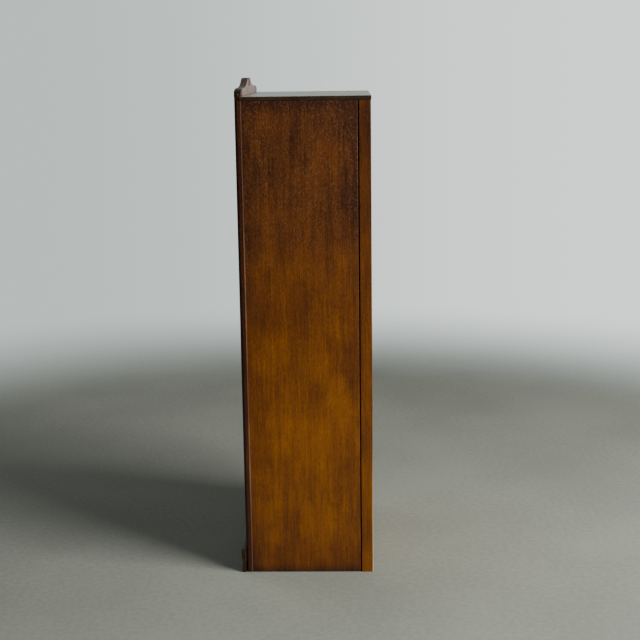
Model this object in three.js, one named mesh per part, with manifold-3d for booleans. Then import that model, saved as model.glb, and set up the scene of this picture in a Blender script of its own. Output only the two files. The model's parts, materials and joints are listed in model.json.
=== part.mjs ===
// Barrister bookcase: a one-piece case with four glazed doors, each of which tips up and slides back
// over its shelf.
// Millimetres, +Z up, front towards -Y. The origin is on the floor, in the middle of the width and depth.
// Depths below are counted from the front edge of the side panels, and the whole case is centred at the end.
import * as THREE from "three";
import { mergeVertices } from "three/addons/utils/BufferGeometryUtils.js";
import Module from "manifold-3d";

const wasm = await Module();
wasm.setup();

// ---- Driving dimensions -------------------------------------------------------------------------

const WIDTH = 600; // over the two side panels
const SIDE_HEIGHT = 1420; // floor to the underside of the top board
const SIDE_DEPTH = 371.5; // front edge of the panel to the back of the rear stile
const SIDE_THICKNESS = 20;
const FLOOR_GAP = 3; // the veneered panel stops short of the floor and the stiles carry the case
const FIT = 0.3; // gap left between pieces that touch
const TIERS = 4;

const TOP = { thickness: 12, sideOverhang: 2, rearOverhang: 1, arris: 3.5 };
const FRONT_STILE = { width: 30, thickness: 16, radius: 9 };
const REAR_STILE = { width: 34.5, groove: 4, grooveDepth: 6, tongue: 6, tongueReach: 10 };
const BACK = { thickness: 6, rabbetWidth: 10, rabbetDepth: 8.5, bottom: 24 };
const SHELF = { thickness: 20, rise: 5, front: 13 + FIT, housing: 6 };

const RAIL = { height: 22, front: -11, back: 13, lip: 4, lipDrop: 6.5 };
const BOTTOM_RAIL = { bottom: 22, top: 88 };
const TOP_RAIL_BOTTOM = 1396;
const RAIL_TENON = { length: 14, thickness: 5, height: 11 };

const BASE_MOULDING = { bottom: 34, top: 77, projection: 13.8 };
const FOOT = { width: 92, projection: 13.4 };
const CREST = { middle: 24, peak: 49, notch: 17, shoulder: 22.5, back: 4.5, endHeight: 12 };

const DOOR = {
  thickness: 18,
  clearance: 1.5, // each side, to the front stiles
  bottomGap: 2,
  topLap: 1.5, // how far the lip of the rail covers the top edge
  stile: 38,
  topRail: 38,
  bottomRail: 42,
  rabbetWidth: 9,
  rabbetDepth: 10,
  ovolo: 5,
  pivotBelowTop: 13.5,
  pivotBehindFace: 11,
};
const DOOR_TENON = { length: 17, thickness: 6, height: 20 };
const PIVOT_DEPTH = 5; // of the pivot rod, behind the front edge of the side panels
const ROD = { radius: 2.25, rollerRadius: 3.5, rollerLength: 6 };
const RUNNER_GROOVE = { height: 8, depth: 8, travel: 247 };
const GLASS = { thickness: 3, lap: 8 };
const BEAD = { width: 7, thickness: 6 };
const KNOB = { spacing: 340, radius: 9, projection: 19, spigotRadius: 2.5, spigotLength: 13 };

// ---- Sizes worked out from them -----------------------------------------------------------------

const HALF = WIDTH / 2;
const SIDE_INSIDE = HALF - SIDE_THICKNESS;
const STILE_INSIDE = HALF - FRONT_STILE.width;
const CASE_HEIGHT = SIDE_HEIGHT + TOP.thickness;
const REAR_STILE_FRONT = SIDE_DEPTH - REAR_STILE.width;
const FRONT_FACE = -FRONT_STILE.thickness;
const BACK_FACE = SIDE_DEPTH + TOP.rearOverhang;
const OPENING =
  (TOP_RAIL_BOTTOM - BOTTOM_RAIL.top - (TIERS - 1) * RAIL.height) / TIERS;

const DOOR_HALF = STILE_INSIDE - DOOR.clearance;
const DOOR_HEIGHT = OPENING - DOOR.bottomGap + DOOR.topLap;
const DOOR_TOP = DOOR.pivotBelowTop;
const DOOR_BOTTOM = DOOR_TOP - DOOR_HEIGHT;
const DOOR_FRONT = -DOOR.pivotBehindFace;
const DOOR_BACK = DOOR_FRONT + DOOR.thickness;
const RABBET_SEAT = DOOR_BACK - DOOR.rabbetDepth;

const openingBottom = (tier) =>
  BOTTOM_RAIL.top + tier * (OPENING + RAIL.height);
const openingTop = (tier) => openingBottom(tier) + OPENING;
const pivotHeight = (tier) => openingTop(tier) + DOOR.topLap - DOOR_TOP;
const tiers = [...Array(TIERS).keys()];
const innerTiers = tiers.slice(1);

// ---- Materials ----------------------------------------------------------------------------------

const finish = (color, roughness, metalness = 0) =>
  new THREE.MeshStandardMaterial({ color, roughness, metalness });

const materials = {
  veneer: finish(0x5a300f, 0.42),
  stainedOak: finish(0x46220f, 0.45),
  polishedTop: finish(0x3c2313, 0.3),
  carvedOak: finish(0x3a1f11, 0.5),
  shelfWood: finish(0x6b4423, 0.6),
  plywood: finish(0x8a6237, 0.75),
  glass: new THREE.MeshStandardMaterial({
    color: 0xe8f0ee,
    roughness: 0.05,
    transparent: true,
    opacity: 0.3,
  }),
  brass: finish(0xa8823c, 0.35, 1),
  steel: finish(0x8c8c88, 0.4, 1),
};

// ---- Shape helpers ------------------------------------------------------------------------------

// A closed geometry as a manifold-3d solid.
function solid(geometry) {
  const bare = new THREE.BufferGeometry();
  bare.setAttribute("position", geometry.getAttribute("position").clone());
  if (geometry.index) bare.setIndex(geometry.index.clone());
  const merged = mergeVertices(bare, 1e-3);
  return new wasm.Manifold(
    new wasm.Mesh({
      numProp: 3,
      vertProperties: merged.attributes.position.array,
      triVerts: new Uint32Array(merged.index.array),
    }),
  );
}

// The solid's surface as a geometry with flat-shaded faces.
function surface(body) {
  const mesh = body.getMesh();
  const indexed = new THREE.BufferGeometry();
  indexed.setAttribute(
    "position",
    new THREE.BufferAttribute(new Float32Array(mesh.vertProperties), 3),
  );
  indexed.setIndex(new THREE.BufferAttribute(mesh.triVerts, 1));
  const flat = indexed.toNonIndexed();
  flat.computeVertexNormals();
  return flat;
}

// A block between two limits on each axis.
function block([x0, x1], [y0, y1], [z0, z1]) {
  return new THREE.BoxGeometry(x1 - x0, y1 - y0, z1 - z0).translate(
    (x0 + x1) / 2,
    (y0 + y1) / 2,
    (z0 + z1) / 2,
  );
}

const shapeOf = (points) =>
  new THREE.Shape(points.map(([a, b]) => new THREE.Vector2(a, b)));

// A plan outline (x, y) raised from one height to another.
function raised(shape, [z0, z1], curveSegments = 6) {
  const settings = { depth: z1 - z0, bevelEnabled: false, curveSegments };
  return new THREE.ExtrudeGeometry(shape, settings).translate(0, 0, z0);
}

// A section (y, z) run across the case from one x to another.
function run(shape, [x0, x1], curveSegments = 6) {
  const settings = { depth: x1 - x0, bevelEnabled: false, curveSegments };
  const turn = new THREE.Matrix4().set(0, 0, 1, 0, 1, 0, 0, 0, 0, 1, 0, 0, 0, 0, 0, 1);
  return new THREE.ExtrudeGeometry(shape, settings)
    .applyMatrix4(turn)
    .translate(x0, 0, 0);
}

// A front outline (x, z) with its thickness between two depths.
function faced(shape, [y0, y1], curveSegments = 6) {
  const settings = { depth: y1 - y0, bevelEnabled: false, curveSegments };
  return new THREE.ExtrudeGeometry(shape, settings)
    .rotateX(Math.PI / 2)
    .translate(0, y1, 0);
}

// A rod along x, centred on the x axis.
function rod(radius, [x0, x1], sides = 16) {
  return new THREE.CylinderGeometry(radius, radius, x1 - x0, sides)
    .rotateZ(Math.PI / 2)
    .translate((x0 + x1) / 2, 0, 0);
}

function cutFrom(geometry, cutters) {
  return surface(
    cutters.reduce((body, cutter) => body.subtract(solid(cutter)), solid(geometry)),
  );
}

function joined(geometries) {
  return geometries.map(solid).reduce((a, b) => a.add(b));
}

function piece(name, material, geometry) {
  const mesh = new THREE.Mesh(geometry, material);
  mesh.name = name;
  return mesh;
}

// The same geometry on both sides of the case; right is +X, as seen from the front.
function pair(name, material, geometry) {
  return [
    ["right", 1],
    ["left", -1],
  ].map(([side, sign]) => {
    const mesh = piece(`${side}_${name}`, material, geometry.clone());
    mesh.scale.x = sign;
    return mesh;
  });
}

const grown = ([low, high], by) => [low - by, high + by];

// ---- Case: sides --------------------------------------------------------------------------------

const shelfLevels = (tier) => {
  const top = openingBottom(tier) + SHELF.rise;
  return [top - SHELF.thickness, top];
};

// Housings for the shelf ends, cut into whatever stands beside them.
function shelfHousings() {
  const across = [SIDE_INSIDE - 1, SIDE_INSIDE + SHELF.housing];
  const along = [SHELF.front - FIT, SIDE_DEPTH - BACK.rabbetDepth + 1];
  return tiers.map((tier) =>
    block(across, along, grown(shelfLevels(tier), FIT)),
  );
}

// Grooves that the pivot rollers run back in.
function runnerGrooves() {
  const half = RUNNER_GROOVE.height / 2;
  return tiers.map((tier) =>
    block(
      [SIDE_INSIDE - 1, SIDE_INSIDE + RUNNER_GROOVE.depth],
      [PIVOT_DEPTH - half, PIVOT_DEPTH + RUNNER_GROOVE.travel + half],
      [pivotHeight(tier) - half, pivotHeight(tier) + half],
    ),
  );
}

// Plan of the side panel: a tongue at its back edge and a quirk left open on the outside, ahead of the
// rear stile.
function sidePanel() {
  const quirkFront = REAR_STILE_FRONT - REAR_STILE.groove;
  const quirkBottom = HALF - REAR_STILE.grooveDepth;
  const tongueMiddle = SIDE_INSIDE + SIDE_THICKNESS / 2 - 3;
  const tongue = [
    tongueMiddle - REAR_STILE.tongue / 2,
    tongueMiddle + REAR_STILE.tongue / 2,
  ];
  const back = REAR_STILE_FRONT - FIT;
  const plan = shapeOf([
    [HALF, 0],
    [HALF, quirkFront],
    [quirkBottom, quirkFront],
    [quirkBottom, back],
    [tongue[1], back],
    [tongue[1], REAR_STILE_FRONT + REAR_STILE.tongueReach],
    [tongue[0], REAR_STILE_FRONT + REAR_STILE.tongueReach],
    [tongue[0], back],
    [SIDE_INSIDE, back],
    [SIDE_INSIDE, 0],
  ]);
  return cutFrom(raised(plan, [FLOOR_GAP, SIDE_HEIGHT - FIT]), [
    ...shelfHousings(),
    ...runnerGrooves(),
  ]);
}

function rearStile() {
  const tongueMiddle = SIDE_INSIDE + SIDE_THICKNESS / 2 - 3;
  const slot = grown([tongueMiddle, tongueMiddle], REAR_STILE.tongue / 2 + FIT);
  const slotBack = REAR_STILE_FRONT + REAR_STILE.tongueReach + FIT;
  const rabbetFront = SIDE_DEPTH - BACK.rabbetDepth;
  const rabbetSide = SIDE_INSIDE + BACK.rabbetWidth;
  const plan = shapeOf([
    [HALF, REAR_STILE_FRONT],
    [HALF, SIDE_DEPTH],
    [rabbetSide, SIDE_DEPTH],
    [rabbetSide, rabbetFront],
    [SIDE_INSIDE, rabbetFront],
    [SIDE_INSIDE, REAR_STILE_FRONT],
    [slot[0], REAR_STILE_FRONT],
    [slot[0], slotBack],
    [slot[1], slotBack],
    [slot[1], REAR_STILE_FRONT],
  ]);
  return cutFrom(raised(plan, [0, SIDE_HEIGHT - FIT]), shelfHousings());
}

// ---- Case: front frame --------------------------------------------------------------------------

const tenonLevels = (low, high) => {
  const middle = (low + high) / 2;
  return [middle - RAIL_TENON.height / 2, middle + RAIL_TENON.height / 2];
};

// Heights of the tenons of every front rail, from the bottom rail up.
const railTenons = [
  tenonLevels(BOTTOM_RAIL.bottom + 20, BOTTOM_RAIL.top - 8),
  ...innerTiers.map((tier) => {
    const bottom = openingTop(tier - 1) + RAIL.lipDrop;
    return tenonLevels(bottom, openingBottom(tier));
  }),
  tenonLevels(TOP_RAIL_BOTTOM + RAIL.lipDrop, CASE_HEIGHT),
];
const tenonDepths = [-6, -6 + RAIL_TENON.thickness];
const tenonEnd = STILE_INSIDE + RAIL_TENON.length;

function frontStile() {
  const { radius } = FRONT_STILE;
  const plan = new THREE.Shape();
  plan.moveTo(STILE_INSIDE, -FIT);
  plan.lineTo(STILE_INSIDE, FRONT_FACE);
  plan.lineTo(HALF - radius - 1, FRONT_FACE);
  plan.absarc(HALF - radius - 1, FRONT_FACE + radius, radius, -Math.PI / 2, 0, false);
  plan.lineTo(HALF - 1, -FIT);
  const mortises = railTenons.map((levels) =>
    block(
      [STILE_INSIDE - 1, tenonEnd + FIT],
      grown(tenonDepths, FIT),
      grown(levels, FIT),
    ),
  );
  return cutFrom(raised(plan, [0, CASE_HEIGHT], 8), mortises);
}

// A front rail: its body, the lip that hangs in front of the door below, and a tenon at each end.
function frontRail(body, lip, tenon) {
  const across = grown([-STILE_INSIDE, STILE_INSIDE], -FIT);
  const parts = [
    block(across, body.depths, body.levels),
    block(grown(across, RAIL_TENON.length), tenonDepths, tenon),
  ];
  if (lip) parts.push(block(across, lip.depths, lip.levels));
  return surface(joined(parts));
}

function bottomRail() {
  return frontRail(
    {
      depths: [FRONT_FACE, RAIL.back],
      levels: [BOTTOM_RAIL.bottom, BOTTOM_RAIL.top],
    },
    null,
    railTenons[0],
  );
}

function middleRail(tier) {
  const bottom = openingTop(tier - 1);
  const top = openingBottom(tier);
  return frontRail(
    {
      depths: [RAIL.front, RAIL.back],
      levels: [bottom + RAIL.lipDrop, top],
    },
    { depths: [RAIL.front, RAIL.front + RAIL.lip], levels: [bottom, top] },
    railTenons[tier],
  );
}

function topRail() {
  return frontRail(
    {
      depths: [RAIL.front, -FIT],
      levels: [TOP_RAIL_BOTTOM + RAIL.lipDrop, CASE_HEIGHT],
    },
    {
      depths: [RAIL.front, RAIL.front + RAIL.lip],
      levels: [TOP_RAIL_BOTTOM, CASE_HEIGHT],
    },
    railTenons[TIERS],
  );
}

// ---- Case: boards -------------------------------------------------------------------------------

function shelf(tier) {
  const reach = SIDE_INSIDE + SHELF.housing - FIT;
  const depths = [SHELF.front, SIDE_DEPTH - BACK.rabbetDepth - FIT];
  return block([-reach, reach], depths, shelfLevels(tier));
}

function backPanel() {
  const reach = SIDE_INSIDE + BACK.rabbetWidth - FIT;
  const front = SIDE_DEPTH - BACK.rabbetDepth + FIT;
  return block(
    [-reach, reach],
    [front, front + BACK.thickness],
    [BACK.bottom, SIDE_HEIGHT - FIT],
  );
}

// Section (x, z) of the top board, with a rounded arris along each side.
function topBoard() {
  const reach = HALF + TOP.sideOverhang;
  const r = TOP.arris;
  const low = SIDE_HEIGHT + r;
  const high = CASE_HEIGHT - r;
  const section = new THREE.Shape();
  section.moveTo(-reach + r, SIDE_HEIGHT);
  section.absarc(reach - r, low, r, -Math.PI / 2, 0, false);
  section.absarc(reach - r, high, r, 0, Math.PI / 2, false);
  section.absarc(-reach + r, high, r, Math.PI / 2, Math.PI, false);
  section.absarc(-reach + r, low, r, Math.PI, 1.5 * Math.PI, false);
  return faced(section, [0, BACK_FACE], 4);
}

// ---- Case: crest and base -----------------------------------------------------------------------

// Broken scroll crest: two lobes either side of a notch, low shoulders, and rounded ends. The curves run
// from the notch to the end: up its side, round the lobe, down the long slope, and over the shoulder.
function crest() {
  const { middle, peak, notch, shoulder, endHeight } = CREST;
  const line = new THREE.Path();
  line.moveTo(0, middle);
  line.bezierCurveTo(notch * 0.6, middle, notch * 0.9, middle + 5, notch, peak - 8);
  line.quadraticCurveTo(notch + 1, peak, notch + 10, peak);
  line.bezierCurveTo(48, peak - 1, 68, 37.5, 106, 29.5);
  line.bezierCurveTo(128, 25.2, 160, shoulder, 205, shoulder);
  line.bezierCurveTo(230, shoulder, 250, 22.5, 268, 20);
  line.quadraticCurveTo(HALF - 10, 17.5, HALF, endHeight);
  line.lineTo(HALF, 0);
  const right = line.getPoints(9).map((p) => [p.x, p.y]);
  const left = right.slice(1).map(([x, z]) => [-x, z]);
  const outline = shapeOf([...right.reverse(), ...left]);
  const base = CASE_HEIGHT + FIT;
  return faced(outline, [FRONT_FACE, CREST.back]).translate(0, 0, base);
}

// Section (y, z) of the base moulding: a rounded top, a flat face, and a cove at the bottom.
function baseMoulding() {
  const { bottom, top, projection } = BASE_MOULDING;
  const back = FRONT_FACE - FIT;
  const front = FRONT_FACE - projection;
  const section = new THREE.Shape();
  section.moveTo(back, bottom);
  section.lineTo(front + 4.5, bottom);
  section.quadraticCurveTo(front + 2, bottom + 1, front + 1.6, bottom + 4);
  section.lineTo(front, bottom + 15);
  section.lineTo(front, top - 7);
  section.quadraticCurveTo(front, top, front + 7, top);
  section.lineTo(back, top);
  return run(section, [-HALF, HALF], 5);
}

// Bracket foot under one end of the base moulding, with an ogee towards the middle.
function foot() {
  const high = BASE_MOULDING.bottom - FIT;
  const inner = HALF - FOOT.width;
  const outline = new THREE.Shape();
  outline.moveTo(HALF, 0);
  outline.lineTo(HALF, high);
  outline.lineTo(inner, high);
  outline.bezierCurveTo(inner + 4, high - 14, inner + 24, high - 8, inner + 30, high - 18);
  outline.bezierCurveTo(inner + 34, high - 26, inner + 42, 6, inner + 44, 0);
  return faced(outline, [FRONT_FACE - FOOT.projection, FRONT_FACE - FIT], 7);
}

// ---- Doors: all in the door's own frame, with the pivot rod's axis on the x axis ----------------

// Section of a door member across its width, from its outer edge (0) to its sight edge, grown all round
// by a gap.
function memberSection(width, gap = 0) {
  const sight = width + gap;
  const front = DOOR_FRONT - gap;
  const seat = RABBET_SEAT + gap;
  const back = DOOR_BACK + gap;
  const shoulder = width - DOOR.rabbetWidth + gap;
  const points = [
    [-gap, front],
    [-gap, back],
    [shoulder, back],
    [shoulder, seat],
    [sight, seat],
    [sight, front + DOOR.ovolo],
  ];
  const steps = 4;
  for (let i = 1; i <= steps; i++) {
    const angle = (i / steps) * (Math.PI / 2);
    points.push([
      sight - DOOR.ovolo * (1 - Math.cos(angle)),
      front + DOOR.ovolo * (1 - Math.sin(angle)),
    ]);
  }
  return points;
}

// Plan of the right stile.
const stilePlan = (gap) =>
  shapeOf(memberSection(DOOR.stile, gap).map(([w, y]) => [DOOR_HALF - w, y]));

const doorRails = {
  top: { width: DOOR.topRail, edge: DOOR_TOP, inward: -1 },
  bottom: { width: DOOR.bottomRail, edge: DOOR_BOTTOM, inward: 1 },
};

function railTenonLevels({ width, edge, inward }) {
  const middle = edge + (inward * (width - DOOR.rabbetWidth)) / 2;
  return grown([middle, middle], DOOR_TENON.height / 2);
}
const doorTenonDepths = [-1, -1 + DOOR_TENON.thickness];
const doorShoulder = DOOR_HALF - DOOR.stile + DOOR.rabbetWidth;
const doorTenonEnd = doorShoulder + DOOR_TENON.length;

const rodBore = () => rod(ROD.radius + FIT, [-DOOR_HALF - 1, DOOR_HALF + 1]);

function doorStile() {
  const mortises = Object.values(doorRails).map((rail) =>
    block(
      [doorShoulder - 1, doorTenonEnd + FIT],
      grown(doorTenonDepths, FIT),
      grown(railTenonLevels(rail), FIT),
    ),
  );
  return cutFrom(raised(stilePlan(0), [DOOR_BOTTOM, DOOR_TOP]), [
    ...mortises,
    rodBore(),
  ]);
}

// A rail's section is the same as a stile's, and its ends are coped over the stiles' moulded edges.
function doorRail(rail) {
  const across = grown([-doorShoulder, doorShoulder], -FIT);
  const section = shapeOf(
    memberSection(rail.width).map(([w, y]) => [y, rail.edge + rail.inward * w]),
  );
  const tall = grown([DOOR_BOTTOM, DOOR_TOP], 5);
  const coped = [1, -1].reduce((body, side) => {
    const stile = solid(raised(stilePlan(FIT), tall));
    return body.subtract(side > 0 ? stile : stile.mirror([1, 0, 0]));
  }, solid(run(section, across)));
  const tenon = block(
    [-doorTenonEnd, doorTenonEnd],
    doorTenonDepths,
    railTenonLevels(rail),
  );
  return coped.add(solid(tenon));
}

const knobHeight = DOOR_BOTTOM + DOOR.bottomRail / 2;

function knobBore(x) {
  const length = KNOB.spigotLength + FIT + 1;
  return new THREE.CylinderGeometry(
    KNOB.spigotRadius + FIT,
    KNOB.spigotRadius + FIT,
    length,
    16,
  ).translate(x, DOOR_FRONT - 1 + length / 2, knobHeight);
}

function doorTopRail() {
  return surface(doorRail(doorRails.top).subtract(solid(rodBore())));
}

function doorBottomRail() {
  const bores = [-1, 1].map((side) => knobBore((side * KNOB.spacing) / 2));
  return surface(
    bores.reduce(
      (body, bore) => body.subtract(solid(bore)),
      doorRail(doorRails.bottom),
    ),
  );
}

const sightHalf = DOOR_HALF - DOOR.stile;
const sightTop = DOOR_TOP - DOOR.topRail;
const sightBottom = DOOR_BOTTOM + DOOR.bottomRail;

function glassPane() {
  return block(
    grown([-sightHalf, sightHalf], GLASS.lap),
    [RABBET_SEAT + FIT, RABBET_SEAT + FIT + GLASS.thickness],
    grown([sightBottom, sightTop], GLASS.lap),
  );
}

// Beading that holds the pane in its rabbet, mitred and pinned in one frame.
function glazingBead() {
  const lap = DOOR.rabbetWidth - FIT;
  const [x0, x1] = grown([-sightHalf, sightHalf], lap);
  const [z0, z1] = grown([sightBottom, sightTop], lap);
  const w = BEAD.width;
  const outline = shapeOf([
    [x0, z0],
    [x1, z0],
    [x1, z1],
    [x0, z1],
  ]);
  outline.holes.push(
    shapeOf([
      [x0 + w, z0 + w],
      [x0 + w, z1 - w],
      [x1 - w, z1 - w],
      [x1 - w, z0 + w],
    ]),
  );
  const front = RABBET_SEAT + 2 * FIT + GLASS.thickness;
  return faced(outline, [front, front + BEAD.thickness]);
}

// Turned brass knob with its spigot, about the y axis, front at the lowest y.
function knob() {
  const { radius, projection, spigotRadius, spigotLength } = KNOB;
  const profile = [
    [0, -projection],
    [radius * 0.45, -projection + 0.5],
    [radius * 0.82, -projection + 2.2],
    [radius, -projection + 5.5],
    [radius * 0.92, -projection + 8.4],
    [radius * 0.6, -projection + 11],
    [radius * 0.42, -projection + 13],
    [radius * 0.46, -3.4],
    [radius * 0.8, -2],
    [radius * 0.84, -FIT],
    [spigotRadius, -FIT],
    [spigotRadius, spigotLength],
    [0, spigotLength],
  ].map(([r, y]) => new THREE.Vector2(r, y));
  return new THREE.LatheGeometry(profile, 20);
}

// Steel rod through the top of the door, with a roller at each end that runs in the groove of the side
// panel.
function pivotRod() {
  const rollerOuter = SIDE_INSIDE + RUNNER_GROOVE.depth - 1;
  const roller = [rollerOuter - ROD.rollerLength, rollerOuter];
  return surface(
    joined([
      rod(ROD.radius, [-rollerOuter, rollerOuter]),
      rod(ROD.rollerRadius, roller, 20),
      rod(ROD.rollerRadius, [-roller[1], -roller[0]], 20),
    ]),
  );
}

function door(tier) {
  const name = `door_${tier + 1}`;
  const group = new THREE.Group();
  group.position.set(0, PIVOT_DEPTH, pivotHeight(tier));
  for (const mesh of pair("stile", materials.stainedOak, doorStile())) {
    mesh.name = `${name}_${mesh.name}`;
    group.add(mesh);
  }
  group.add(
    piece(`${name}_top_rail`, materials.stainedOak, doorTopRail()),
    piece(`${name}_bottom_rail`, materials.stainedOak, doorBottomRail()),
    piece(`${name}_glass`, materials.glass, glassPane()),
    piece(`${name}_glazing_bead`, materials.stainedOak, glazingBead()),
    piece(`${name}_pivot_rod`, materials.steel, pivotRod()),
  );
  for (const [side, sign] of [
    ["right", 1],
    ["left", -1],
  ]) {
    const pull = piece(`${name}_${side}_knob`, materials.brass, knob());
    pull.position.set((sign * KNOB.spacing) / 2, DOOR_FRONT, knobHeight);
    group.add(pull);
  }
  return group;
}

// ---- The bookcase -------------------------------------------------------------------------------

const bookcase = new THREE.Group();
bookcase.position.y =
  -(BACK_FACE + FRONT_FACE - BASE_MOULDING.projection) / 2;

bookcase.add(
  ...pair("side_panel", materials.veneer, sidePanel()),
  ...pair("rear_stile", materials.stainedOak, rearStile()),
  ...pair("front_stile", materials.stainedOak, frontStile()),
  ...pair("front_foot", materials.carvedOak, foot()),
  piece("top_board", materials.polishedTop, topBoard()),
  piece("crest", materials.carvedOak, crest()),
  piece("base_moulding", materials.carvedOak, baseMoulding()),
  piece("bottom_board", materials.shelfWood, shelf(0)),
  piece("back_panel", materials.plywood, backPanel()),
  piece("bottom_rail", materials.stainedOak, bottomRail()),
  piece("top_rail", materials.stainedOak, topRail()),
);
for (const tier of innerTiers) {
  bookcase.add(
    piece(`shelf_${tier}`, materials.shelfWood, shelf(tier)),
    piece(`middle_rail_${tier}`, materials.stainedOak, middleRail(tier)),
  );
}
for (const tier of tiers) bookcase.add(door(tier));

export default bookcase;
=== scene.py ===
"""Barrister bookcase: finished woodwork, glass and brass on the fixed frame, and its studio.

Metres, +Z up, front towards -Y. The case is one tall carcass of stained oak with four glazed doors.
"""

import json
import math

import bmesh
import bpy
from bpy.props import FloatProperty, FloatVectorProperty, IntProperty, PointerProperty
from mathutils import Matrix, Vector

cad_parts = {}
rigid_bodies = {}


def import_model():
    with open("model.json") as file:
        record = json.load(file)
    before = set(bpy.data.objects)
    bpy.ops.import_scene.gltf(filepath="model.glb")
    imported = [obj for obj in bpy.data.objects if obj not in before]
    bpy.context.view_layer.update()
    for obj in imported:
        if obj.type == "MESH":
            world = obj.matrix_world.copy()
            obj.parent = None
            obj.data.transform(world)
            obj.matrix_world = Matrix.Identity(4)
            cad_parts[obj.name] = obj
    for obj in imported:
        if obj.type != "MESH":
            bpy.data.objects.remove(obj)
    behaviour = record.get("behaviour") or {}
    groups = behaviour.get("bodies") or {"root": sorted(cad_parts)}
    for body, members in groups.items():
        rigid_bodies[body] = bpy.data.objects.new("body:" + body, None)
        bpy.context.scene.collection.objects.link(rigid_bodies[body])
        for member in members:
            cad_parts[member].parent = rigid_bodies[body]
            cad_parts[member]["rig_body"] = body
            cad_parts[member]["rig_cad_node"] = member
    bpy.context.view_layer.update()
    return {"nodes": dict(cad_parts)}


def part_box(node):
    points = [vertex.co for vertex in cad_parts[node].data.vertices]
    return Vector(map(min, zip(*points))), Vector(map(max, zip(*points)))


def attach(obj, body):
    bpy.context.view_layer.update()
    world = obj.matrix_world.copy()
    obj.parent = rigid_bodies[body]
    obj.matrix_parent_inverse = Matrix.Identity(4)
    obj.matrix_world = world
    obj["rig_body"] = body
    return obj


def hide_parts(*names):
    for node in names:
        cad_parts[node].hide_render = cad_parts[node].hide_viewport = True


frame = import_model()

bl_info = {
    "name": "Barrister Bookcase",
    "version": (1, 0, 0),
    "blender": (4, 5, 0),
    "location": "View3D > Sidebar > Bookcase",
    "description": "Woodwork, carving, glass and brass of a glazed bookcase, and a plain studio",
    "category": "Add Mesh",
}

MM = 0.001
SIDES = {"right": 1, "left": -1}
DOORS = [f"door_{number}" for number in range(1, 5)]
SHELVES = ("bottom_board", "shelf_1", "shelf_2", "shelf_3")
WELD = 0.02 * MM
SHARP = math.radians(38)  # an edge that turns by more is sharp


# ---- Colour and sizes that a user may change -----------------------------------------------------


def linear(code):
    """An sRGB hex value as linear red, green and blue."""
    shares = [int(code[i : i + 2], 16) / 255 for i in (1, 3, 5)]
    return [s / 12.92 if s <= 0.04045 else ((s + 0.055) / 1.055) ** 2.4 for s in shares]


def tint(name, code, description):
    """A colour setting whose default is an sRGB hex value."""
    return FloatVectorProperty(
        name=name, description=description, subtype="COLOR", min=0, max=1, default=linear(code)
    )


def length(name, metres, description):
    """A length setting in metres."""
    return FloatProperty(name=name, description=description, default=metres, min=0, unit="LENGTH")


def tilt(name, radians, description):
    """An angle setting in radians."""
    return FloatProperty(name=name, description=description, default=radians, subtype="ANGLE")


def plain(name, value, description):
    """A plain number setting."""
    return FloatProperty(name=name, description=description, default=value, min=0)


class BookcaseSizes(bpy.types.PropertyGroup):
    """Sizes of the finishing work."""

    arris: length("Arris", 1.0 * MM, "Rounding of the sharp edges of frame members and shelves")
    lipping: length("Lipping", 4.0 * MM, "Solid, rubbed edging along the front of each side panel")
    door_arris: length("Door arris", 0.8 * MM, "Rounding of the sharp edges of the doors")
    carving_border: length("Carving border", 3.2 * MM, "Width of the raised edge round the carving")
    carving_depth: length("Carving depth", 3.0 * MM, "How far the crest's ground is cut back")
    flute_pitch: length("Flute pitch", 20.0 * MM, "Distance between the thumbnail flutes of the base")
    peg_radius: length("Peg radius", 3.0 * MM, "Radius of the oak pegs through the joints")
    brad_pitch: length("Brad pitch", 115.0 * MM, "Distance between the brads of the back panel")
    round_steps: IntProperty(
        name="Round steps", description="Sides of turned pieces", default=40, min=12, max=96
    )


class BookcaseColours(bpy.types.PropertyGroup):
    """Colours of the finishes."""

    veneer_dark: tint("Veneer, dark", "#371a09", "Deepest stain of the side veneer")
    veneer_middle: tint("Veneer, middle", "#65350a", "Main stain of the side veneer")
    veneer_light: tint("Veneer, light", "#93560e", "Where the stain of the side veneer is thin")
    frame_dark: tint("Frame, dark", "#220f07", "Deepest stain of the solid oak")
    frame_middle: tint("Frame, middle", "#41200f", "Main stain of the solid oak")
    frame_light: tint("Frame, light", "#5c3216", "Where the stain of the solid oak is thin")
    carving_dark: tint("Carving, dark", "#1a0e08", "Stain that has gathered in the carving")
    carving_light: tint("Carving, light", "#38200f", "Stain on the high parts of the carving")
    top_dark: tint("Top, dark", "#1d140d", "Deepest stain of the top, and its edges")
    top_light: tint("Top, light", "#47372a", "Where the stain of the top is thin")
    # On the front of the carving the rubbed colour is also a painted highlight.
    rubbed: tint("Rubbed oak", "#a5785a", "Edges where hands have worn the stain away")
    bare: tint("Bare edge", "#cdb48e", "Edges that have lost all their stain")
    # The dust colour also paints the sheen of the top's lacquer.
    dust: tint("Dust", "#bdb2a0", "Bloom and dust on the top")
    bloom: tint("Bloom", "#877267", "Grey bloom on the back of the crest")
    shelf: tint("Shelf", "#7a4f2b", "Sealed oak of the shelves")
    plywood: tint("Plywood", "#8f6b44", "Bare back panel")
    brass: tint("Brass", "#b8924a", "Lacquered brass of the knobs")
    steel: tint("Steel", "#9a9a96", "Drawn steel of the pivot rods")


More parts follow.
